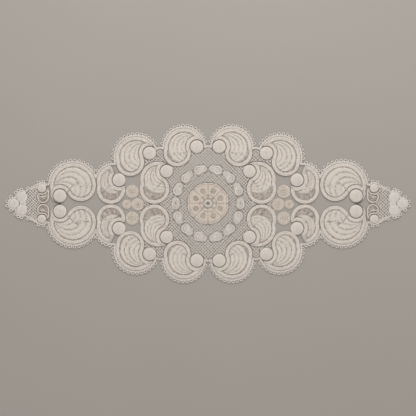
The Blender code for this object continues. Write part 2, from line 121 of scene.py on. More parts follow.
# What the edging is worked round, from the end of the mat to its middle.
EDGING_CHAIN = ("tip leaf", "side leaf", "web", "end button", "nook", "outer arc", "waist arc",
                "shoulder head", "shoulder arc", "valley", "crown head", "crown arc", "middle")
FILLINGS = {
    "tip leaf": CLOVER_LEAVES[2],
    "side leaf": CLOVER_LEAVES[0],
    "web": ((265.5, 12.5), 7.0),
    "nook": ((238.5, 22.0), 5.0),
    "valley": ((71.5, 74.5), 7.0),
    "middle": ((0.0, 77.5), 6.5),
}
PICOT_MARGIN = 0.85
TOUCH_GAP = 1.0


class MatSizes(bpy.types.PropertyGroup):
    """The sizes of the stitches."""

    row: bpy.props.FloatProperty(
        name="Row", description="Height of one row of stitches", default=0.0024,
        min=0.001, unit="LENGTH", subtype="DISTANCE")
    stitch: bpy.props.FloatProperty(
        name="Stitch", description="Width of one stitch", default=0.0017,
        min=0.0005, unit="LENGTH", subtype="DISTANCE")
    thread: bpy.props.FloatProperty(
        name="Thread", description="Diameter of the net's thread", default=0.0012,
        min=0.0004, unit="LENGTH", subtype="DISTANCE")
    net_pitch: bpy.props.FloatProperty(
        name="Net pitch", description="Distance between the net's threads", default=0.0033,
        min=0.002, unit="LENGTH", subtype="DISTANCE")
    picot_pitch: bpy.props.FloatProperty(
        name="Picot pitch", description="Distance between picots along the edge", default=0.0065,
        min=0.004, unit="LENGTH", subtype="DISTANCE")
    rim: bpy.props.FloatProperty(
        name="Rim", description="Width of the band round each comma", default=0.0062,
        min=0.003, unit="LENGTH", subtype="DISTANCE")


class MatColours(bpy.types.PropertyGroup):
    """The colours of the thread, of the painted shade on it, and of the floor."""

    ivory: bpy.props.FloatVectorProperty(
        name="Ivory", description="Raised thread in the light", default=(0.96, 0.90, 0.84),
        size=3, min=0, max=1, subtype="COLOR")
    cream: bpy.props.FloatVectorProperty(
        name="Cream", description="Thread of the padded motifs", default=(0.95, 0.875, 0.805),
        size=3, min=0, max=1, subtype="COLOR")
    sheer: bpy.props.FloatVectorProperty(
        name="Sheer", description="Thread of the open parts", default=(0.90, 0.80, 0.71),
        size=3, min=0, max=1, subtype="COLOR")
    # Painted shade: the colour that thread is darkened to down in gaps, grooves and holes and low by the
    # table.
    shade: bpy.props.FloatVectorProperty(
        name="Shade", description="Thread down in the gaps", default=(0.145, 0.082, 0.045),
        size=3, min=0, max=1, subtype="COLOR")
    floor: bpy.props.FloatVectorProperty(
        name="Floor", description="The plain floor", default=(0.46, 0.43, 0.40),
        size=3, min=0, max=1, subtype="COLOR")


def ring_of(centre, radius, start, end, count):
    """Count steps along an arc, in degrees, from start to end, both ends included."""
    turns = [math.radians(start + (end - start) * i / count) for i in range(count + 1)]
    return [(centre[0] + radius * math.cos(t), centre[1] + radius * math.sin(t)) for t in turns]


def on_circle(centre, radius, angle):
    turn = math.radians(angle)
    return centre[0] + radius * math.cos(turn), centre[1] + radius * math.sin(turn)


def angle_to(centre, point):
    return math.degrees(math.atan2(point[1] - centre[1], point[0] - centre[0]))


def meeting_angle(centre, radius, other, other_radius, side):
    """Where a circle meets another, as an angle on the first; side picks which meeting."""
    apart = math.dist(centre, other)
    cosine = (apart**2 + radius**2 - other_radius**2) / (2 * apart * radius)
    return angle_to(centre, other) + side * math.degrees(math.acos(max(-1.0, min(1.0, cosine))))


def above(angle, floor):
    """The same direction, at or past the floor angle."""
    return floor + (angle - floor) % 360


def placed(points, flip_x=1, flip_y=1):
    """Points mirrored into another quarter of the mat, in the same turning sense."""
    moved = [(x * flip_x, y * flip_y) for x, y in points]
    return moved if flip_x * flip_y > 0 else moved[::-1]


def quarters():
    """The four quarters of the mat: a name, and the sides that X and Y are mirrored to."""
    sides = {"right": 1, "left": -1}
    rows = {"back": 1, "front": -1}
    return [(f"{row}_{side}", sides[side], rows[row]) for row in rows for side in sides]


def comma_in(name, flip_y):
    """A comma's row of sizes; in the front half the low rows hang further from the middle."""
    comma = COMMAS[name]
    if flip_y > 0 or name not in LOW_ROWS:
        return comma
    lowered = dict(comma)
    for key in ("arc", "head", "button"):
        lowered[key] = (comma[key][0], comma[key][1] + LOW_ROWS[name])
    return lowered


def mirrored(comma):
    """The same comma seen in a mirror, with its tail turning the other way."""
    flipped = dict(comma, turn=-comma["turn"], tip=180 - comma["tip"])
    for key in ("arc", "head", "button"):
        flipped[key] = (-comma[key][0], comma[key][1])
    return flipped


def comma_outline(comma):
    """The rim of a comma: outer arc, tail, the hollow round the button, head."""
    if comma["turn"] < 0:
        return [(-x, y) for x, y in comma_outline(mirrored(comma))][::-1]
    arc, arc_r, head, head_r = (comma[key] for key in ("arc", "arc_r", "head", "head_r"))
    button, bay_r = comma["button"], comma["button_r"] + SLIT
    start = meeting_angle(arc, arc_r, head, head_r, 1)
    leave = above(meeting_angle(arc, arc_r, button, bay_r, -1), start)
    if comma["tail"] == "wrap":
        follow, follow_r = (-WRAP_CENTRE[0], WRAP_CENTRE[1]), WRAP_RADIUS
        leave = above(meeting_angle(arc, arc_r, follow, follow_r, -1), start)
        path = ring_of(arc, arc_r, start, leave, 80)
        begin = angle_to(follow, path[-1])
        path += ring_of(follow, follow_r, begin, above(comma["tip"], begin), 20)[1:]
    else:
        path = ring_of(arc, arc_r, start, min(leave, above(comma["tip"], start)), 90)
    bay_start = angle_to(button, path[-1])
    bay_end = meeting_angle(button, bay_r, head, head_r, -1)
    path += ring_of(button, bay_r, bay_start, bay_start - (bay_start - bay_end) % 360, 34)[1:]
    head_start = angle_to(head, path[-1])
    head_end = above(angle_to(head, on_circle(arc, arc_r, start)), head_start)
    path += ring_of(head, head_r, head_start, head_end, 56)[1:-1]
    if comma["tail"] == "shoulder":
        rival, rival_r = COMMAS["shoulder"]["head"], COMMAS["shoulder"]["head_r"] + 0.7
        path = [point if math.dist(point, rival) > rival_r
                else on_circle(rival, rival_r, angle_to(rival, point)) for point in path]
    return path


def lies_inside(outline, x, y):
    """Whether a point lies inside a closed outline."""
    crossings = 0
    for (ax, ay), (bx, by) in zip(outline, outline[1:] + outline[:1]):
        if (ay > y) != (by > y) and x < ax + (y - ay) * (bx - ax) / (by - ay):
            crossings += 1
    return crossings % 2 == 1


def inward(outline):
    """Each point's inward direction, and how far it can go before another side is as near."""
    sides = list(zip(outline, outline[1:] + outline[:1]))
    side = 1 if sum(a[0] * b[1] - b[0] * a[1] for a, b in sides) > 0 else -1
    fine = [Vector(a).lerp(Vector(b), i / 8) for a, b in sides for i in range(8)]
    tree = KDTree(len(fine))
    for i, point in enumerate(fine):
        tree.insert((point.x, point.y, 0), i)
    tree.balance()
    paths = []
    for before, (x, y), after in zip(outline[-1:] + outline, outline, outline[1:] + outline[:1]):
        tangent = Vector((after[0] - before[0], after[1] - before[1])).normalized()
        normal = Vector((-tangent.y, tangent.x)) * side
        reach = 0.0
        for step in range(1, DEEPEST_STEPS):
            depth = 0.1 * step
            if tree.find((x + normal.x * depth, y + normal.y * depth, 0))[2] < depth - 0.06:
                break
            reach = depth
        if not lies_inside(outline, x + normal.x * reach, y + normal.y * reach):
            reach = 0.0
        paths.append(((x, y), normal, max(0.0, reach - 0.3)))
    return paths


def row_inside(paths, inset):
    """One row's points inside an outline, each with how deep it lies: (x, y, depth)."""
    row = []
    for (x, y), normal, reach in paths:
        depth = min(inset, reach)
        row.append((x + normal.x * depth, y + normal.y * depth, depth))
    return row


def lobe_outline(lobes, radii):
    """The rim of a scroll's two fused lobes."""
    (first, second), (first_r, second_r) = lobes, radii
    start = meeting_angle(first, first_r, second, second_r, 1)
    end = above(meeting_angle(first, first_r, second, second_r, -1), start)
    outline = ring_of(first, first_r, start, end, 44)
    start = meeting_angle(second, second_r, first, first_r, 1)
    end = above(meeting_angle(second, second_r, first, first_r, -1), start)
    return outline + ring_of(second, second_r, start, end, 36)[1:-1]


def worked(shape, rings, closed=True):
    """Extrudes ring after ring and sets each on its points: (x, y, z, tone) in millimetres.

    Tone is painted light and shade: how far a point lies in the light, from 0 down in a gap to 1 on a ridge.
    The two lengths along and across the rows are kept for the stitches."""
    tone, along, across, girth = (shape.verts.layers.float[key] for key in LAYERS)
    count = len(rings[0])
    verts = bmesh.ops.create_circle(shape, cap_ends=False, segments=count, radius=1)["verts"]
    made = [verts]
    for _ in rings[1:]:
        old = made[-1]
        edges = [shape.edges.get((a, b)) for a, b in zip(old, old[1:] + old[:1])]
        fresh = set(bmesh.ops.extrude_edge_only(shape, edges=edges)["geom"])
        made.append([next(e.other_vert(v) for e in v.link_edges if e.other_vert(v) in fresh)
                     for v in old])
    travelled, worked_rows, started = 0.0, -1, rings[0]
    for number, (row, points) in enumerate(zip(made, rings)):
        length = 0.0
        if number:
            travelled += max(math.dist(a[:2], b[:2]) for a, b in zip(points, rings[number - 1]))
        if int(travelled / ROW_CHART) > worked_rows:
            worked_rows, started = int(travelled / ROW_CHART), points
        for i, (vertex, point) in enumerate(zip(row, points)):
            vertex.co = Vector(point[:3]) * MM
            vertex[tone], vertex[across], vertex[along] = point[3], travelled, length
            length += math.dist(started[i][:2], started[(i + 1) % count][:2])
        for vertex in row:
            vertex[girth] = length
    if closed:
        bottom, top = ([shape.edges.get((a, b)) for a, b in zip(row, row[1:] + row[:1])]
                       for row in (made[0], made[-1]))
        bmesh.ops.contextual_create(shape, geom=bottom)
        if max(math.dist(rings[-1][0][:2], point[:2]) for point in rings[-1]) > 2:
            bmesh.ops.triangle_fill(shape, edges=top, use_beauty=True, use_dissolve=False)
        else:
            bmesh.ops.contextual_create(shape, geom=top)
    return made


def close_tube(shape, made):
    """Joins the first and the last ring of a tube."""
    ends = [shape.edges.get((a, b)) for row in (made[0], made[-1])
            for a, b in zip(row, row[1:] + row[:1])]
    bmesh.ops.bridge_loops(shape, edges=ends)


def new_shape():
    """An empty shape that keeps each point's tone of painted light and shade and its place in the rows."""
    shape = bmesh.new()
    for key in LAYERS:
        shape.verts.layers.float.new(key)
    return shape


def charted(shape):
    """Lays the stitch chart on the faces: along and across the rows, in millimetres."""
    bmesh.ops.remove_doubles(shape, verts=shape.verts, dist=0.002 * MM)
    bmesh.ops.recalc_face_normals(shape, faces=shape.faces)
    _, along, across, girth = (shape.verts.layers.float[key] for key in LAYERS)
    chart = shape.loops.layers.uv.new("stitches")
    for face in shape.faces:
        face.smooth = True
        lengths = [loop.vert[along] for loop in face.loops]
        longest = face.loops[0].vert[girth]
        wraps = max(lengths) - min(lengths) > longest / 2
        for loop in face.loops:
            length = loop.vert[along]
            beyond = longest if wraps and length < longest / 2 else 0
            loop[chart].uv = (length + beyond, loop.vert[across])


def set_out(shape, finish, places):
    """Makes a piece of the shape for each place: its name, its node and how it is mirrored."""
    pieces = []
    for name, node, flip_x, flip_y in places:
        turned = shape.copy()
        bmesh.ops.scale(turned, vec=(flip_x, flip_y, 1), verts=turned.verts)
        if flip_x * flip_y < 0:
            bmesh.ops.reverse_faces(turned, faces=turned.faces)
        mesh = bpy.data.meshes.new(name)
        turned.to_mesh(mesh)
        turned.free()
        pieces.append(added(name, mesh, finish, node))
    shape.free()
    return pieces


def added(name, mesh, finish, node):
    """Adds a piece that rides on the mat and stands for its plain solid."""
    piece = bpy.data.objects.new(name, mesh)
    bpy.context.scene.collection.objects.link(piece)
    mesh.materials.clear()
    mesh.materials.append(finish)
    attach(piece, BODY)
    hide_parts(node)
    return piece


def laid_flat(piece, node, trimmings=()):
    """Works out the area in plan of the plain solid under a piece of crochet worked flat and laid on the
    table, raised to at least a share of its flat size; the area is not used further.
    """
    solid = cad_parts[node].data
    area = sum(face.area * face.normal.z for face in solid.polygons if face.normal.z > 0)
    low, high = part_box(node)
    width, length = (high[i] - low[i] for i in (0, 1))
    area = max(area, LEAST_SHEET_SHARE * width * length)


def smooth_step(low, high, value):
    """A smooth rise from 0 at low to 1 at high."""
    t = max(0.0, min(1.0, (value - low) / (high - low)))
    return t * t * (3 - 2 * t)


def uneven(x, y, size, amount):
    """Slow unevenness of hand work over the surface."""
    return amount * noise.noise(Vector((x / size, y / size, 3.7)))


def edge_rise(inset, height, soft):
    """How a padded edge climbs from the table to its full height."""
    return height * math.sqrt(max(0.0, 1 - (1 - min(1.0, inset / soft)) ** 2))


def comma_height(x, y, inset, comma, rim, row):
    """Height and tone of a comma: a rim of rows, a deep groove, then ridges swept to the tail. The tone is
    painted light and shade: darker at the foot, in the groove and between rows, ridges and knots, and
    lighter where the surface rises.
    """
    swell = uneven(x, y, 9, 0.25)
    if inset < rim:
        wave = math.cos(2 * math.pi * (inset - 0.5 * row) / row)
        lift = edge_rise(inset + 0.25, 2.15, 1.7) + 0.24 * wave * smooth_step(0, 1.5, inset)
        tone = 0.68 + 0.3 * wave - 0.5 * (1 - smooth_step(0, 0.7, inset))
    else:
        outer = comma["arc_r"] - rim - math.dist((x, y), comma["arc"])
        bay = math.dist((x, y), comma["button"]) - comma["button_r"] - SLIT - rim
        share = max(0.0, outer) / (max(0.0, outer) + max(0.0, bay) + 0.01)
        wave = abs(math.sin(math.pi * RIDGES * share)) ** 0.7
        knots = 0.5 + 0.5 * math.cos(2 * math.pi * bay / 2.1) * math.cos(2 * math.pi * outer / 2.1)
        lift = 1.9 + 0.85 * wave * smooth_step(0, 1.6, inset - rim) + 0.18 * knots
        tone = 0.1 + 0.6 * wave + 0.3 * knots
    # The groove is cut down and darkened with painted shade.
    trench = math.exp(-((inset - rim) / 0.75) ** 2)
    return lift + swell * 0.5 - 0.9 * trench, tone * (1 - 0.85 * trench) + 0.25 * swell


def button_rings(centre, radius, row):
    """A padded button, worked in rounds over a dome, with painted shade at its foot and painted light on
    each round's crest.
    """
    rings = [[(x, y, 0.0, 0.2) for x, y in ring_of(centre, radius - 1.2, 0, 360, 72)[:-1]],
             [(x, y, 0.5, 0.3) for x, y in ring_of(centre, radius - 0.1, 0, 360, 72)[:-1]]]
    steps = round(radius / 0.42)
    for i in range(steps):
        inset = radius * i / steps
        reach = radius - inset
        wave = math.cos(2 * math.pi * inset / row)
        dome = 1.5 + 2.2 * math.sqrt(max(0.0, 1 - (reach / (radius + 0.4)) ** 2))
        stitches = round(2 * math.pi * reach / 1.7)
        ring = []
        for j, (x, y) in enumerate(ring_of(centre, max(reach, 0.15), 0, 360, 72)[:-1]):
            rib = math.cos(2 * math.pi * j / 72 * max(6, stitches))
            ring.append((x, y, dome + 0.14 * wave + 0.05 * rib, 0.78 + 0.2 * wave + 0.06 * rib))
        rings.append(ring)
    return rings


def petal_rosette(shape, centre, radius, base):
    """A small knot of stitches at the middle of a comma's head, with painted shade in its middle dimple and
    painted light on the high side of each fold.
    """
    rings = []
    for i in range(10):
        reach = radius * (1 - i / 9.6)
        ring = []
        for x, y in ring_of(centre, reach, 0, 360, 40)[:-1]:
            turn = math.atan2(y - centre[1], x - centre[0])
            fold = math.cos(6 * turn) * (reach / radius)
            dome = math.sqrt(max(0.0, 1 - (reach / radius) ** 2))
            dimple = math.exp(-(reach / 0.9) ** 2)
            ring.append((x, y, base + 0.9 * dome + 0.2 * fold - 0.9 * dimple,
                         0.72 + 0.25 * fold - 0.6 * dimple))
        rings.append(ring)
    worked(shape, rings)


class MAT_OT_commas(bpy.types.Operator):
    """Works the padded commas, each with its button and rosette"""

    bl_idname = "mat.commas"
    bl_label = "Commas"

    def execute(self, context):
        finish = crochet("padded_crochet", context.scene.mat_colours.cream)
        for name in COMMAS:
            for sides in ((1,), (-1,)) if name in LOW_ROWS else ((1, -1),):
                places = [(f"{name}_comma_{quarter}", f"comma_{name}_{quarter}", flip_x, flip_y)
                          for quarter, flip_x, flip_y in quarters() if flip_y in sides]
                shape = self.work(comma_in(name, sides[0]), context.scene.mat_sizes)
                for piece in set_out(shape, finish, places):
                    laid_flat(piece, "comma_" + piece.name.replace("_comma", ""))
        return {"FINISHED"}

    def work(self, comma, sizes):
        row, rim = sizes.row / MM, sizes.rim / MM
        rosette = LARGE_ROSETTE
        if comma["head_r"] < SMALL_HEAD:
            rim, rosette = rim / 2, SMALL_ROSETTE
        shape = new_shape()
        paths = inward(comma_outline(comma))
        deepest = max(reach for _, _, reach in paths)
        # The foot of the outline is painted in full shade.
        rings = [[(x, y, 0.0, 0.0) for x, y, _ in row_inside(paths, 0)]]
        steps = round(deepest / 0.45)
        for i in range(steps + 1):
            rings.append([(x, y, *comma_height(x, y, depth, comma, rim, row))
                          for x, y, depth in row_inside(paths, 0.25 + (deepest - 0.25) * i / steps)])
        worked(shape, rings)
        petal_rosette(shape, comma["head"], rosette, ROSETTE_BASE)
        worked(shape, button_rings(comma["button"], comma["button_r"] + 0.1, row))
        charted(shape)
        return shape


def scroll_lobes(number):
    """Centres of a scroll's large and small lobe, and their radii."""
    if number == 0:
        return ((SCROLL_RADII[0], -2.6), (SCROLL_RADII[0], 3.0)), (6.9, 6.3)
    turn = 2 * math.pi * number / SCROLL_COUNT
    out, along = (math.cos(turn), math.sin(turn)), (-math.sin(turn), math.cos(turn))
    radius = SCROLL_RADII[number]
    large = tuple(radius * o + LARGE_LOBE_ALONG * a for o, a in zip(out, along))
    small = tuple((radius + SMALL_LOBE_OUT) * o + SMALL_LOBE_ALONG * a for o, a in zip(out, along))
    return (large, small), (LARGE_LOBE, SMALL_LOBE)


def scroll_height(x, y, lobes, radii, inset):
    """Each lobe is a thick coil: a raised spiral with a line of painted shade between its turns."""
    nearer = min((0, 1), key=lambda k: math.dist((x, y), lobes[k]) / radii[k])
    centre, other = lobes[nearer], lobes[1 - nearer]
    reach = math.dist((x, y), centre)
    turn = math.atan2(y - centre[1], x - centre[0]) - math.atan2(other[1] - centre[1], other[0] - centre[0])
    pitch = radii[nearer] / 2.2
    wave = math.cos(2 * math.pi * (reach / pitch) - (turn if nearer == 0 else turn + math.pi))
    rise = edge_rise(inset + 0.3, 2.1, 1.6)
    return rise + 0.75 * (0.5 + 0.5 * wave) * smooth_step(0.2, 1.4, inset), 0.66 + 0.36 * wave


class MAT_OT_scrolls(bpy.types.Operator):
    """Works the ring of double scrolls round the flower"""

    bl_idname = "mat.scrolls"
    bl_label = "Scrolls"

    def execute(self, context):
        finish = crochet("bright_crochet", context.scene.mat_colours.ivory)
        for number in range(4):
            lobes, radii = scroll_lobes(number)
            paths = inward(lobe_outline(lobes, radii))
            # The foot of the outline is painted in full shade.
            rings = [[(x, y, 0.0, 0.0) for x, y, _ in row_inside(paths, 0)]]
            for i in range(17):
                rings.append([(x, y, *scroll_height(x, y, lobes, radii, depth))
                              for x, y, depth in row_inside(paths, 0.2 + radii[0] * i / 16.5)])
            shape = new_shape()
            worked(shape, rings)
            charted(shape)
            sides = [("right", 1, 1), ("left", -1, 1)] if number == 0 else quarters()
            places = [(place if number == 0 else f"{number}_{place}", flip_x, flip_y)
                      for place, flip_x, flip_y in sides]
            for piece, (place, _, _) in zip(set_out(shape, finish, [
                    (f"double_scroll_{place}", f"scroll_{place}", flip_x, flip_y)
                    for place, flip_x, flip_y in places]), places):
                laid_flat(piece, f"scroll_{place}")
        return {"FINISHED"}


def flower_height(reach, turn):
    """The medallion's petals: scalloped rows, openwork hollows and creases between petals. The hollows, the
    creases and the groove inside the rim are darkened with painted shade, and the knots round the middle are
    painted lighter than the low ground between them.
    """
    fold = (turn * PETALS / (2 * math.pi)) % 1.0 - 0.5
    bow = reach + 3.2 * abs(fold) - 0.8
    wave = math.cos(2 * math.pi * bow / 2.5)
    if reach < 13.2:
        knot = math.exp(-((reach - 10.4) / 1.7) ** 2 - (fold / 0.30) ** 4)
        return 1.0 + 1.5 * knot, 0.3 + 0.75 * knot
    rise = 1.9 - 0.55 * smooth_step(23, 31, reach)
    hollow = max(0.0, 1 - (fold / 0.30) ** 2 - ((reach - 19.5) / 5.2) ** 2)
    bars = 0.5 + 0.5 * math.cos(2 * math.pi * fold * 7) * math.cos(2 * math.pi * reach / 2.6)
    crease = math.exp(-((0.5 - abs(fold)) / 0.045) ** 2)
    rim = math.exp(-((reach - 28.6) / 0.5) ** 2)
    # Painted shade in the openwork hollows, which are dips and not holes.
    shaded_open_work = smooth_step(0.05, 0.35, hollow) * (1 - 0.75 * bars)
    height = rise + 0.18 * wave - 0.9 * shaded_open_work - 0.5 * crease - 0.45 * rim
    return height, 0.72 + 0.2 * wave - 0.62 * shaded_open_work - 0.4 * crease - 0.35 * rim


class MAT_OT_flower(bpy.types.Operator):
    """Works the flower and the hub ring at its middle"""

    bl_idname = "mat.flower"
    bl_label = "Flower"

    def execute(self, context):
        colours = context.scene.mat_colours
        finish = crochet("sheer_crochet", colours.sheer)
        around = PETALS * 32
        rings = []
        # The wall and floor under the hub ring are painted in shade.
        for reach, height in ((6.2, 0.9), (6.2, 0.0), (FLOWER_RADIUS - 0.6, 0.0)):
            rings.append([(x, y, height, 0.15) for x, y in ring_of((0, 0), reach, 0, 360, around)[:-1]])
        for i in range(66):
            reach = FLOWER_RADIUS + 0.2 - (FLOWER_RADIUS - 6.0) * i / 65
            ring = []
            for x, y in ring_of((0, 0), reach, 0, 360, around)[:-1]:
                turn = math.atan2(y, x)
                notch = 1 - 0.035 * abs(math.cos(turn * PETALS / 2)) ** 8 * smooth_step(26, 31, reach)
                height, tone = flower_height(reach, turn)
                lift = edge_rise(FLOWER_RADIUS + 0.3 - reach, height, 1.2)
                ring.append((x * notch, y * notch, lift, tone))
            rings.append(ring)
        shape = new_shape()
        close_tube(shape, worked(shape, rings, closed=False))
        charted(shape)
        laid_flat(*set_out(shape, finish, [("medallion", "flower", 1, 1)]), "flower")
        self.work_hub(crochet("bright_crochet", colours.ivory))
        return {"FINISHED"}

    def work_hub(self, finish):
        middle, thick = (HUB_RADIUS + HUB_HOLE) / 2, (HUB_RADIUS - HUB_HOLE) / 2
        rings = []
        for i in range(16):
            tilt = 2 * math.pi * i / 16
            ring = []
            for x, y in ring_of((0, 0), 1, 0, 360, 96)[:-1]:
                rib = math.cos(18 * math.atan2(y, x) + tilt)
                reach = middle + thick * math.cos(tilt) * (1 + 0.04 * rib)
                height = 1.45 + (1.45 + 0.12 * rib) * math.sin(tilt)
                # Painted light on top of the ring and painted shade underneath.
                tone = 0.55 + 0.3 * math.sin(tilt) + 0.12 * rib
                ring.append((x * reach, y * reach, max(0.0, height), tone))
            rings.append(ring)
        shape = new_shape()
        close_tube(shape, worked(shape, rings, closed=False))
        charted(shape)
        laid_flat(*set_out(shape, finish, [("hub_ring", "hub", 1, 1)]), "hub")


def disc_rings(centre, radius):
    """A thin disc of three rounds, with lines of painted shade between them and a pinhole in the middle."""
    rings = [[(x, y, 0.0, 0.2) for x, y in ring_of(centre, radius - 0.5, 0, 360, 96)[:-1]]]
    steps = round((radius - 0.7) / 0.4)
    for i in range(steps + 1):
        reach = radius + 0.2 - (radius - 0.5) * i / steps
        ring = []
        for x, y in ring_of(centre, reach, 0, 360, 96)[:-1]:
            turn = math.atan2(y - centre[1], x - centre[0])
            wave = math.cos(2 * math.pi * (reach - radius) / 3.0)
            spoke = math.cos(24 * turn)
            lift = edge_rise(radius + 0.3 - reach, 1.0, 0.8) + 0.16 * wave + 0.07 * spoke * wave
            ring.append((x, y, lift, 0.62 + 0.26 * wave + 0.12 * spoke))
        rings.append(ring)
    return rings


class MAT_OT_discs(bpy.types.Operator):
    """Works the sheer discs beside the inner commas"""

    bl_idname = "mat.discs"
    bl_label = "Discs"

    def execute(self, context):
        finish = crochet("sheer_crochet", context.scene.mat_colours.sheer)
        for name, (centre, radius) in DISCS.items():
            shape = new_shape()
            worked(shape, disc_rings(centre, radius))
            charted(shape)
            nodes = [f"disc_{name}_{side}" for side in ("right", "left")]
            for piece, node in zip(set_out(shape, finish, [
                    (f"sheer_{nodes[0]}", nodes[0], 1, 1), (f"sheer_{nodes[1]}", nodes[1], -1, 1)]), nodes):
                laid_flat(piece, node)
        return {"FINISHED"}


class MAT_OT_clovers(bpy.types.Operator):
    """Works the three-leaved clover at each end"""

    bl_idname = "mat.clovers"
    bl_label = "Clovers"

    def execute(self, context):
        finish = crochet("bright_crochet", context.scene.mat_colours.ivory)
        row = context.scene.mat_sizes.row / MM
        shape = new_shape()
        for centre, radius in CLOVER_LEAVES:
            rings = [[(x, y, z * 0.62, tone) for x, y, z, tone in ring]
                     for ring in button_rings(centre, radius + 0.2, row)]
            worked(shape, rings)
        # The low button in the middle of the leaves gets a little more painted shade.
        rings = [[(x, y, z * 0.5, tone - 0.1) for x, y, z, tone in ring]
                 for ring in button_rings((276.5, 0.0), 5.2, row)]
        worked(shape, rings)
        charted(shape)
        right, left = set_out(shape, finish, [("leaves_right", "clover_right", 1, 1),
                                              ("leaves_left", "clover_left", -1, 1)])
        laid_flat(right, "clover_right")
        laid_flat(left, "clover_left")
        return {"FINISHED"}


def footprint(node):
    """Looks straight down on a plain solid: is a point over it?"""
    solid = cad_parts[node].data
    tree = BVHTree.FromPolygons([v.co for v in solid.vertices], [p.vertices for p in solid.polygons])
    return lambda x, y: tree.ray_cast(Vector((x * MM, y * MM, 1)), Vector((0, 0, -1)))[0] is not None


def thread_lines(over, low, high, pitch, angle, seed):
    """Parallel wandering threads across a region, each cut into the runs that lie over it."""
    rng = random.Random(seed)
    middle = ((low[0] + high[0]) / 2, (low[1] + high[1]) / 2)
    half = math.dist(low, high) / 2
    ray = (math.cos(angle), math.sin(angle))
    runs = []
    for i in range(-int(half / pitch), int(half / pitch) + 1):
        offset = i * pitch + rng.uniform(-0.12, 0.12) * pitch
        run, steps = [], int(2 * half / (pitch / 3))
        for j in range(steps):
            travel = -half + j * pitch / 3
            x = middle[0] + ray[0] * travel - ray[1] * offset
            y = middle[1] + ray[1] * travel + ray[0] * offset
            x += 0.35 * noise.noise(Vector((x / 4, y / 4, seed)))
            y += 0.35 * noise.noise(Vector((x / 4, y / 4, seed + 9)))
            if over(x, y):
                run.append((x, y, travel))
            elif run:
                runs.append(run)
                run = []
        if run:
            runs.append(run)
    return [run for run in runs if len(run) > 1]


def thread_curve(name, strands, radius, sides=1):
    """Strands of thread as one curve: each a list of points in millimetres and whether closed."""
    curve = bpy.data.curves.new(name, "CURVE")
    curve.dimensions = "3D"
    curve.bevel_depth = radius * MM
    curve.bevel_resolution = sides
    curve.use_fill_caps = True
    for points, closed in strands:
        spline = curve.splines.new("POLY")
        spline.points.add(len(points) - 1)
        for point, place in zip(spline.points, points):
            point.co = (place[0] * MM, place[1] * MM, place[2] * MM, 1)
            point.radius = place[3]
        spline.use_cyclic_u = closed
    return curve


def woven(name, curve, finish, node):
    """Turns thread curves into the mesh of a net."""
    loose = bpy.data.objects.new(name, curve)
    bpy.context.scene.collection.objects.link(loose)
    depsgraph = bpy.context.evaluated_depsgraph_get()
    mesh = bpy.data.meshes.new_from_object(loose.evaluated_get(depsgraph), depsgraph=depsgraph)
    bpy.data.objects.remove(loose)
    shape = bmesh.new()
    shape.from_mesh(mesh)
    bmesh.ops.remove_doubles(shape, verts=shape.verts, dist=1e-7)
    for face in shape.faces:
        face.smooth = True
    shape.to_mesh(mesh)
    shape.free()
    return added(name, mesh, finish, node)


def net_strands(node, pitch, seed):
    """Two layers of crossing threads, the lower one closer; it stands in for the shade seen through the net
    and is darkened with painted shade by its height.
    """
    over = footprint(node)
    low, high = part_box(node)
    low, high = (low[0] / MM, low[1] / MM), (high[0] / MM, high[1] / MM)
    strands = []
    for layer, (turn, level) in enumerate(((45, 0.95), (135, 0.95), (0, 0.4), (90, 0.4))):
        spacing = pitch if layer < 2 else pitch * math.sqrt(2)
        for run in thread_lines(over, low, high, spacing, math.radians(turn), seed + layer):
            points = []
            for x, y, travel in run:
                hop = 0.25 * math.cos(math.pi * travel / pitch + math.pi * layer)
                points.append((x, y, level + hop if layer < 2 else level, 1.0 if layer < 2 else 0.6))
            strands.append((points, False))
    return strands


class MAT_OT_nets(bpy.types.Operator):
    """Works the ground, the corner nets, the side nets and the end webs"""

    bl_idname = "mat.nets"
    bl_label = "Nets"

    def execute(self, context):
        sizes = context.scene.mat_sizes
        finish = thread_finish("net_crochet", context.scene.mat_colours.ivory)
        nodes = ["ground", "side_net_right", "side_net_left", "end_web_right", "end_web_left"]
        nodes += [f"wedge_net_{quarter}" for quarter, _, _ in quarters()]
        for number, node in enumerate(nodes):
            strands = net_strands(node, sizes.net_pitch / MM, 10 * number)
            curve = thread_curve(node, strands, 0.5 * sizes.thread / MM)
            net = woven(f"threads_of_{node}", curve, finish, node)
            if node != "ground":
                laid_flat(net, node)
        return {"FINISHED"}


def handover(first, first_r, second, second_r):
    """Angles at which a line round two circles leaves the first and reaches the second."""
    apart = math.dist(first, second)
    heading = angle_to(first, second)
    if 0 <= apart - first_r - second_r < TOUCH_GAP:
        return heading, heading + 180
    if apart >= first_r + second_r:
        both = heading - math.degrees(math.acos((first_r - second_r) / apart))
        return both, both
    return (meeting_angle(first, first_r, second, second_r, -1),
            meeting_angle(second, second_r, first, first_r, 1))


def edging_circle(name, flip_y):
    """The circle that one stretch of the edging is worked round."""
    if name in FILLINGS:
        return FILLINGS[name]
    row, shape = name.split()
    comma = comma_in(row, flip_y)
    return comma[shape], comma[f"{shape}_r"]


def edging_arcs(grow, flip_y):
    """One quarter's arcs, this far out from what they are worked round: circle, start and end."""
    circles = [edging_circle(name, flip_y) for name in EDGING_CHAIN]
    circles = [(centre, radius + grow) for centre, radius in circles]
    starts, ends = [0.0], []
    for (first, first_r), (second, second_r) in zip(circles, circles[1:]):
        leave, reach = handover(first, first_r, second, second_r)
        ends.append(leave)
        starts.append(reach)
    ends.append(90.0)
    arcs = []
    for (centre, radius), start, end in zip(circles, starts, ends):
        sweep = (end - start) % 360
        if sweep < 270:
            arcs.append((centre, radius, start, start + sweep))
    return arcs


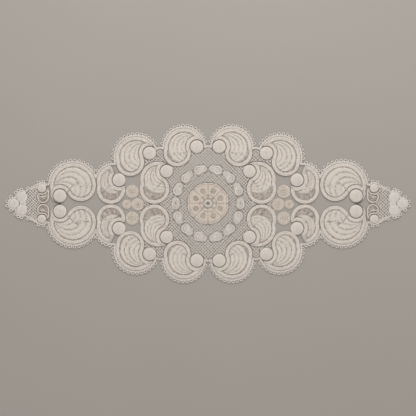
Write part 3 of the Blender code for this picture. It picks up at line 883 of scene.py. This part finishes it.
def edging_line(grow):
    """A closed line all round the mat, this far out from the motifs."""
    def quarter(flip_y):
        line = []
        for centre, radius, start, end in edging_arcs(grow, flip_y):
            count = max(1, round(math.radians(end - start) * radius / 0.7))
            line += ring_of(centre, radius, start, end, count)
        return line
    back, front = quarter(1), quarter(-1)
    loop = back + placed(back, -1) + placed(front + placed(front, -1), 1, -1)
    return [point for i, point in enumerate(loop) if math.dist(point, loop[i - 1]) > 0.3]


def picot_places(out, pitch_mm):
    """Where the picots stand all round the mat: circle, angle on it, and how it is mirrored."""
    places = []
    for flip_y in (1, -1):
        arcs = edging_arcs(out, flip_y)
        for number, (centre, radius, start, end) in enumerate(arcs):
            pitch = math.degrees(pitch_mm / radius)
            first = start + (0.5 if number == 0 else PICOT_MARGIN) * pitch
            last = end - (0.5 if number == len(arcs) - 1 else PICOT_MARGIN) * pitch
            if last - first < -0.5 * pitch:
                continue
            count = round((last - first) / pitch) if last - first > 0.5 * pitch else 0
            turns = [first + (last - first) * i / count for i in range(count + 1)] if count else [
                (first + last) / 2]
            for turn in turns:
                for flip_x in (1, -1):
                    places.append((centre, radius, turn, flip_x, flip_y))
    return places


def band_rings(line, half, height, pitch):
    """A low band along a closed line, worked in posts with a dip between each pair, darkened with painted
    shade to stand for a small hole.
    """
    sides = []
    for before, here, after in zip(line[-1:] + line, line, line[1:] + line[:1]):
        tangent = Vector((after[0] - before[0], after[1] - before[1])).normalized()
        sides.append((here, (tangent.y, -tangent.x), math.dist(before, here)))
    rings = []
    for i in range(10):
        tilt = 2 * math.pi * i / 10
        off, travelled, ring = half * math.cos(tilt), 0.0, []
        for (x, y), (nx, ny), step in sides:
            travelled += step
            painted_shade_dip = (0.5 + 0.5 * math.cos(2 * math.pi * travelled / pitch)) ** 2 * math.exp(-(off / 1.0) ** 2)
            top = height / 2 * (1 + math.sin(tilt)) * (1 - 0.55 * painted_shade_dip * (math.sin(tilt) > 0))
            ring.append((x + nx * off, y + ny * off, top, 0.5 + 0.4 * math.sin(tilt) - 0.75 * painted_shade_dip))
        rings.append(ring)
    return rings


def picot_mesh():
    """One picot: a round of thread standing up a little, painted lighter on top and darker underneath, with
    a dark disc of painted shade at the bottom of its eye.
    """
    shape = new_shape()
    rings = []
    for i in range(8):
        tilt = 2 * math.pi * i / 8
        reach = 1.95 + 0.85 * math.cos(tilt)
        rings.append([(x, y, 0.95 + 0.9 * math.sin(tilt), 0.62 + 0.42 * math.sin(tilt))
                      for x, y in ring_of((0, 0), reach, 0, 360, 18)[:-1]])
    close_tube(shape, worked(shape, rings, closed=False))
    # A dark disc of painted shade closes the bottom of the eye.
    worked(shape, [[(x, y, z, 0.0) for x, y in ring_of((0, 0), 1.3, 0, 360, 12)[:-1]] for z in (0.15, 0.4)])
    mesh = bpy.data.meshes.new("picot")
    shape.to_mesh(mesh)
    shape.free()
    return mesh


class MAT_OT_edging(bpy.types.Operator):
    """Works the picot edging, one round all round the mat"""

    bl_idname = "mat.edging"
    bl_label = "Edging"

    def execute(self, context):
        finish = crochet("bright_crochet", context.scene.mat_colours.ivory)
        pitch = context.scene.mat_sizes.picot_pitch / MM
        shape = new_shape()
        close_tube(shape, worked(shape, band_rings(edging_line(1.5), 1.75, 1.6, pitch / 2), closed=False))
        picot = picot_mesh()
        for centre, radius, turn, flip_x, flip_y in picot_places(3.9, pitch):
            x, y = on_circle(centre, radius, turn)
            one = picot.copy()
            one.transform(Matrix.Translation((x * flip_x * MM, y * flip_y * MM, 0)))
            shape.from_mesh(one)
            bpy.data.meshes.remove(one)
        charted(shape)
        picots, = set_out(shape, finish, [("picot_round", "edging", 1, 1)])
        laid_flat(bpy.data.objects["threads_of_ground"], "ground", [picots])
        return {"FINISHED"}


def group_node(tree, kind, inputs, **settings):
    """Adds a node, sets its options and joins or fills its inputs."""
    made = tree.nodes.new(kind)
    for key, value in settings.items():
        setattr(made, key, value)
    for key, value in inputs.items():
        if isinstance(value, bpy.types.NodeSocket):
            tree.links.new(value, made.inputs[key])
        else:
            made.inputs[key].default_value = value
    return made


def calculated(tree, operation, *values):
    return group_node(tree, "ShaderNodeMath", dict(enumerate(values)), operation=operation).outputs[0]


def fibre_and_shade_group():
    """Fibre and painted shade: fine mottling and fuzz that every thread of the mat has, and the mix from the
    painted shade colour to the light colour by tone.
    """
    if "fibre_and_painted_shade" in bpy.data.node_groups:
        return bpy.data.node_groups["fibre_and_painted_shade"]
    tree = bpy.data.node_groups.new("fibre_and_painted_shade", "ShaderNodeTree")
    for name, kind in (("Light", "NodeSocketColor"), ("Shade", "NodeSocketColor"),
                       ("Tone", "NodeSocketFloat"), ("Relief", "NodeSocketFloat")):
        tree.interface.new_socket(name, in_out="INPUT", socket_type=kind)
    for name, kind in (("Color", "NodeSocketColor"), ("Roughness", "NodeSocketFloat"),
                       ("Height", "NodeSocketFloat")):
        tree.interface.new_socket(name, in_out="OUTPUT", socket_type=kind)
    given = tree.nodes.new("NodeGroupInput")
    place = tree.nodes.new("ShaderNodeTexCoord").outputs["Object"]
    patches = group_node(tree, "ShaderNodeTexNoise", {"Vector": place, "Scale": 340.0, "Detail": 3.0})
    fuzz = group_node(tree, "ShaderNodeTexNoise", {"Vector": place, "Scale": 1500.0, "Detail": 4.0})
    drift = calculated(tree, "MULTIPLY_ADD", patches.outputs["Fac"], 1.0, -0.5)
    grain = calculated(tree, "MULTIPLY_ADD", fuzz.outputs["Fac"], 0.24, -0.12)
    tone = calculated(tree, "ADD", calculated(tree, "ADD", given.outputs["Tone"], drift), grain)
    ramp = group_node(tree, "ShaderNodeMapRange", {"Value": tone, "From Min": -0.28, "From Max": 0.66})
    mix = group_node(tree, "ShaderNodeMix", {0: ramp.outputs[0], 6: given.outputs["Shade"],
                                            7: given.outputs["Light"]}, data_type="RGBA")
    rough = calculated(tree, "MULTIPLY_ADD", grain, 0.5, 0.84)
    height = calculated(tree, "ADD", calculated(tree, "MULTIPLY", fuzz.outputs["Fac"], 0.35),
                        given.outputs["Relief"])
    out = tree.nodes.new("NodeGroupOutput")
    tree.links.new(mix.outputs[2], out.inputs["Color"])
    tree.links.new(rough, out.inputs["Roughness"])
    tree.links.new(height, out.inputs["Height"])
    return tree


def thread_shader(name, light, build_tone):
    """A matt cotton material whose colour runs from the painted shade colour to the light colour by its
    tone; build_tone makes its tone and relief from the piece's own chart.
    """
    if name in bpy.data.materials:
        return bpy.data.materials[name]
    colours = bpy.context.scene.mat_colours
    made = bpy.data.materials.new(name)
    made.use_nodes = True
    tree = made.node_tree
    shader = tree.nodes["Principled BSDF"]
    tone, relief = build_tone(tree)
    fibre_and_shade = group_node(tree, "ShaderNodeGroup", {}, node_tree=fibre_and_shade_group())
    fibre_and_shade.inputs["Light"].default_value = (*light, 1)
    fibre_and_shade.inputs["Shade"].default_value = (*colours.shade, 1)
    tree.links.new(tone, fibre_and_shade.inputs["Tone"])
    tree.links.new(relief, fibre_and_shade.inputs["Relief"])
    tree.links.new(fibre_and_shade.outputs["Color"], shader.inputs["Base Color"])
    tree.links.new(fibre_and_shade.outputs["Roughness"], shader.inputs["Roughness"])
    bump = group_node(tree, "ShaderNodeBump", {"Height": fibre_and_shade.outputs["Height"], "Strength": 0.7,
                                              "Distance": 0.0006})
    tree.links.new(bump.outputs["Normal"], shader.inputs["Normal"])
    shader.inputs["Sheen Weight"].default_value = 0.25
    shader.inputs["Sheen Roughness"].default_value = 0.6
    shader.inputs["Specular IOR Level"].default_value = 0.25
    return made


def crochet(name, light):
    """Close crochet: columns of stitches that follow each row, stepped from row to row. Its colour is the
    painted light and shade kept on each point, with each stitch painted a little lighter where it stands up.
    """
    def build(tree):
        sizes = bpy.context.scene.mat_sizes
        chart = group_node(tree, "ShaderNodeUVMap", {}, uv_map="stitches").outputs[0]
        parts = group_node(tree, "ShaderNodeSeparateXYZ", {0: chart})
        row = calculated(tree, "DIVIDE", parts.outputs[1], sizes.row / MM)
        column = calculated(tree, "DIVIDE", parts.outputs[0], sizes.stitch / MM)
        step = calculated(tree, "MULTIPLY", calculated(tree, "FLOOR", row), 0.5)
        slant = calculated(tree, "MULTIPLY", calculated(tree, "FRACT", row), 0.35)
        phase = calculated(tree, "ADD", calculated(tree, "ADD", column, step), slant)
        ribs = calculated(tree, "COSINE", calculated(tree, "MULTIPLY", phase, 2 * math.pi))
        rows = calculated(tree, "COSINE", calculated(tree, "MULTIPLY", row, 2 * math.pi))
        weave = calculated(tree, "ADD", calculated(tree, "MULTIPLY", ribs, 0.6),
                           calculated(tree, "MULTIPLY", rows, 0.4))
        kept = group_node(tree, "ShaderNodeAttribute", {}, attribute_name="tone").outputs["Fac"]
        tone = calculated(tree, "MULTIPLY_ADD", weave, 0.2, kept)
        return tone, weave
    return thread_shader(name, light, build)


def thread_finish(name, light):
    """Single threads with a twist: painted light on top and brown painted shade low down by the table, the
    twist painted a little lighter on its crests.
    """
    def build(tree):
        place = tree.nodes.new("ShaderNodeTexCoord").outputs["Object"]
        parts = group_node(tree, "ShaderNodeSeparateXYZ", {0: place})
        # Painted shade by height: the lower a thread lies, the nearer its colour goes to the shade colour.
        level = group_node(tree, "ShaderNodeMapRange", {"Value": parts.outputs[2], "From Min": 0.0003,
                                                       "From Max": 0.0016, "To Min": -0.2, "To Max": 1.25})
        twist = group_node(tree, "ShaderNodeTexWave", {"Vector": place, "Scale": 380.0,
                                                      "Distortion": 2.0}, bands_direction="DIAGONAL")
        tone = calculated(tree, "MULTIPLY_ADD", twist.outputs["Fac"], 0.16, level.outputs[0])
        return tone, twist.outputs["Fac"]
    return thread_shader(name, light, build)


def floor_finish(colour):
    """A plain pale board with the faintest unevenness."""
    made = bpy.data.materials.new("plain_floor")
    made.use_nodes = True
    tree = made.node_tree
    place = tree.nodes.new("ShaderNodeTexCoord").outputs["Object"]
    cloud = group_node(tree, "ShaderNodeTexNoise", {"Vector": place, "Scale": 4.0, "Detail": 2.0})
    mix = group_node(tree, "ShaderNodeMix", {0: cloud.outputs["Fac"], 6: (*[c * 0.97 for c in colour], 1),
                                            7: (*[c * 1.03 for c in colour], 1)}, data_type="RGBA")
    shader = tree.nodes["Principled BSDF"]
    tree.links.new(mix.outputs[2], shader.inputs["Base Color"])
    shader.inputs["Roughness"].default_value = 0.9
    shader.inputs["Specular IOR Level"].default_value = 0.1
    return made


# The photograph's frame: millimetres a pixel, and how far the mat's middle lies above its centre.
FRAME_PIXELS = 416
MM_PER_PIXEL = 1.496
MIDDLE_ABOVE_CENTRE = 4.4
LENS = 70.0


class MAT_OT_stage(bpy.types.Operator):
    """Lays the floor and sets the light and the camera"""

    bl_idname = "mat.stage"
    bl_label = "Stage"

    def execute(self, context):
        shape = bmesh.new()
        bmesh.ops.create_grid(shape, x_segments=1, y_segments=1, size=3)
        bmesh.ops.translate(shape, vec=(0, 0, -0.0002), verts=shape.verts)
        mesh = bpy.data.meshes.new("floor")
        shape.to_mesh(mesh)
        shape.free()
        mesh.materials.append(floor_finish(context.scene.mat_colours.floor))
        floor = bpy.data.objects.new("floor", mesh)
        context.scene.collection.objects.link(floor)
        self.light("window", 0.9, 11.3, (0.1, 1.1, 1.0), (1.0, 0.98, 0.95))
        self.light("fill", 2.5, 10.5, (-0.2, -1.0, 2.2), (1.0, 0.97, 0.94))
        world = bpy.data.worlds.new("studio")
        world.use_nodes = True
        world.node_tree.nodes["Background"].inputs["Color"].default_value = (1.0, 0.97, 0.94, 1)
        world.node_tree.nodes["Background"].inputs["Strength"].default_value = 0.38
        context.scene.world = world
        camera = bpy.data.cameras.new("overhead")
        camera.lens = LENS
        view = bpy.data.objects.new("overhead", camera)
        width = FRAME_PIXELS * MM_PER_PIXEL * MM
        view.location = (0, -MIDDLE_ABOVE_CENTRE * MM_PER_PIXEL * MM, width * LENS / camera.sensor_width)
        context.scene.collection.objects.link(view)
        context.scene.camera = view
        context.scene.view_settings.view_transform = "Standard"
        return {"FINISHED"}

    def light(self, name, size, power, place, colour):
        lamp = bpy.data.lights.new(name, "AREA")
        lamp.energy = power
        lamp.size = size
        lamp.color = colour
        holder = bpy.data.objects.new(name, lamp)
        holder.location = place
        holder.rotation_euler = Vector(place).to_track_quat("Z", "Y").to_euler()
        bpy.context.scene.collection.objects.link(holder)


OPERATORS = (MAT_OT_commas, MAT_OT_scrolls, MAT_OT_flower, MAT_OT_discs, MAT_OT_clovers, MAT_OT_nets,
             MAT_OT_edging, MAT_OT_stage)


class MAT_PT_panel(bpy.types.Panel):
    """Lists the mat's pieces, sizes and colours"""

    bl_label = "Lace mat"
    bl_idname = "MAT_PT_panel"
    bl_space_type = "VIEW_3D"
    bl_region_type = "UI"
    bl_category = "Lace mat"

    def draw(self, context):
        for group in (context.scene.mat_sizes, context.scene.mat_colours):
            for name in group.bl_rna.properties.keys():
                if name not in ("rna_type", "name"):
                    self.layout.prop(group, name)
        for operator in OPERATORS:
            self.layout.operator(operator.bl_idname)


CLASSES = (MatSizes, MatColours, *OPERATORS, MAT_PT_panel)


def register():
    for kind in CLASSES:
        bpy.utils.register_class(kind)
    bpy.types.Scene.mat_sizes = bpy.props.PointerProperty(type=MatSizes)
    bpy.types.Scene.mat_colours = bpy.props.PointerProperty(type=MatColours)


def unregister():
    del bpy.types.Scene.mat_colours
    del bpy.types.Scene.mat_sizes
    for kind in reversed(CLASSES):
        bpy.utils.unregister_class(kind)


def main():
    register()
    bpy.ops.mat.commas()
    bpy.ops.mat.scrolls()
    bpy.ops.mat.flower()
    bpy.ops.mat.discs()
    bpy.ops.mat.clovers()
    bpy.ops.mat.nets()
    bpy.ops.mat.edging()
    bpy.ops.mat.stage()


if __name__ == "__main__":
    main()
